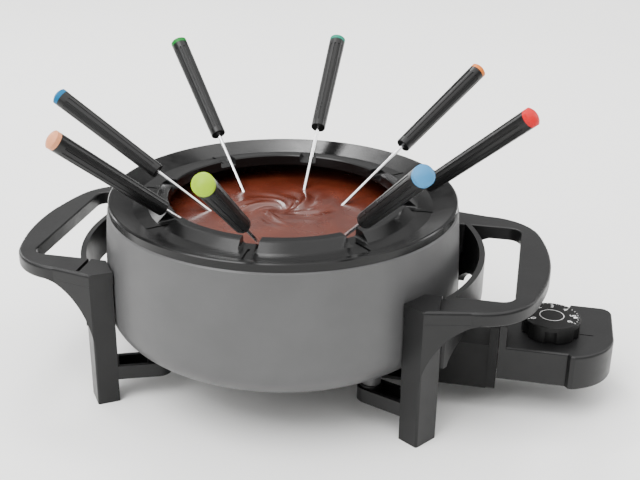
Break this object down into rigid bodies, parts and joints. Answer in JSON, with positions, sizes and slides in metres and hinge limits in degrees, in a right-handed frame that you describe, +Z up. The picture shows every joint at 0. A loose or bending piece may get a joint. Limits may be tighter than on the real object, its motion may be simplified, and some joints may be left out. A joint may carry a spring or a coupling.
{
  "type": "electric fondue pot set",
  "caption": "Electric fondue pot on two legged side handles, with a notched fork ring, colour-capped dipping forks and a plug-in thermostat control.",
  "frame": {"origin": "centre of the whole set's footprint, at table level", "axes": "+X from the pot towards the thermostat control, +Z up"},
  "size_m": [0.4151, 0.371, 0.2148],
  "materials": {
    "pot_paint": "satin grey paint on cast aluminium",
    "black_gloss": "glossy black heat-resistant plastic",
    "black_satin": "satin black heat-resistant plastic",
    "shroud_black": "matt black heat-resistant plastic",
    "control_satin": "satin black plastic",
    "dial_black": "satin black plastic with printed white numbers",
    "dial_print": "white print",
    "fork_grip": "satin black fluted plastic",
    "fork_steel": "polished stainless steel",
    "screw_steel": "zinc-plated steel",
    "element_sheath": "dull heat-stained sheath",
    "cast_aluminium": "bare cast aluminium",
    "ceramic": "unglazed steatite",
    "pin_metal": "nickel-plated",
    "contact_brass": "spring brass",
    "switch_body": "brown phenolic",
    "gland_rubber": "soft black rubber",
    "chocolate": "glossy melted chocolate",
    "cap_green": "coloured plastic, satin gloss",
    "cap_teal": "coloured plastic, satin gloss",
    "cap_orange": "coloured plastic, satin gloss",
    "cap_cyan": "coloured plastic, satin gloss",
    "cap_peach": "coloured plastic, satin gloss",
    "cap_lime": "coloured plastic, satin gloss",
    "cap_blue": "coloured plastic, satin gloss",
    "cap_red": "coloured plastic, satin gloss"
  },
  "bodies": {
    "root": {"pot": "pot_paint", "handle_left": "black_satin", "handle_right": "black_satin", "foot_screws_left": "screw_steel", "foot_screws_right": "screw_steel", "heating_element": "element_sheath", "probe_well": "cast_aluminium", "socket_shroud": "shroud_black", "shroud_screws": "screw_steel", "terminal_plate": "ceramic", "terminal_pins": "pin_metal"},
    "fork_ring": {"fork_ring": "black_gloss"},
    "fork_green": {"fork_green_handle": "fork_grip", "fork_green_cap": "cap_green", "fork_green_shaft": "fork_steel"},
    "fork_teal": {"fork_teal_handle": "fork_grip", "fork_teal_cap": "cap_teal", "fork_teal_shaft": "fork_steel"},
    "fork_orange": {"fork_orange_handle": "fork_grip", "fork_orange_cap": "cap_orange", "fork_orange_shaft": "fork_steel"},
    "fork_cyan": {"fork_cyan_handle": "fork_grip", "fork_cyan_cap": "cap_cyan", "fork_cyan_shaft": "fork_steel"},
    "fork_peach": {"fork_peach_handle": "fork_grip", "fork_peach_cap": "cap_peach", "fork_peach_shaft": "fork_steel"},
    "fork_lime": {"fork_lime_handle": "fork_grip", "fork_lime_cap": "cap_lime", "fork_lime_shaft": "fork_steel"},
    "fork_blue": {"fork_blue_handle": "fork_grip", "fork_blue_cap": "cap_blue", "fork_blue_shaft": "fork_steel"},
    "fork_red": {"fork_red_handle": "fork_grip", "fork_red_cap": "cap_red", "fork_red_shaft": "fork_steel"},
    "thermostat": {"control_lower_shell": "control_satin", "control_upper_shell": "control_satin", "control_screws": "screw_steel", "contact_block": "ceramic", "contact_sleeves": "contact_brass", "probe_rod": "fork_steel", "bimetal_switch": "switch_body", "cord_gland": "gland_rubber"},
    "dial": {"dial": "dial_black", "dial_spindle": "screw_steel"}
  },
  "joints": [
    {"name": "ring_lift", "type": "slide", "parent": "root", "child": "fork_ring", "axis": [0, 0, 1], "range_m": [0, 0.1]},
    {"name": "fork_green_draw", "type": "slide", "parent": "fork_ring", "child": "fork_green", "axis": [-0.5237, 0.5636, 0.6388], "range_m": [0, 0.14]},
    {"name": "fork_teal_draw", "type": "slide", "parent": "fork_ring", "child": "fork_teal", "axis": [0.0028, 0.809, 0.5878], "range_m": [0, 0.14]},
    {"name": "fork_orange_draw", "type": "slide", "parent": "fork_ring", "child": "fork_orange", "axis": [0.5331, 0.6847, 0.497], "range_m": [0, 0.14]},
    {"name": "fork_cyan_draw", "type": "slide", "parent": "fork_ring", "child": "fork_cyan", "axis": [-0.8384, 0.0822, 0.5388], "range_m": [0, 0.14]},
    {"name": "fork_peach_draw", "type": "slide", "parent": "fork_ring", "child": "fork_peach", "axis": [-0.5798, -0.5058, 0.6388], "range_m": [0, 0.14]},
    {"name": "fork_lime_draw", "type": "slide", "parent": "fork_ring", "child": "fork_lime", "axis": [0.0114, -0.8161, 0.5779], "range_m": [0, 0.14]},
    {"name": "fork_blue_draw", "type": "slide", "parent": "fork_ring", "child": "fork_blue", "axis": [0.4436, -0.6728, 0.592], "range_m": [0, 0.14]},
    {"name": "fork_red_draw", "type": "slide", "parent": "fork_ring", "child": "fork_red", "axis": [0.6937, -0.2973, 0.6561], "range_m": [0, 0.14]},
    {"name": "thermostat_plug", "type": "slide", "parent": "root", "child": "thermostat", "axis": [1, 0, 0], "range_m": [0, 0.1]},
    {"name": "dial_turn", "type": "hinge", "parent": "thermostat", "child": "dial", "pos_m": [0.1653, 0.0052, 0.054], "axis": [0, 0, -1], "range_deg": [0, 280]}
  ]
}
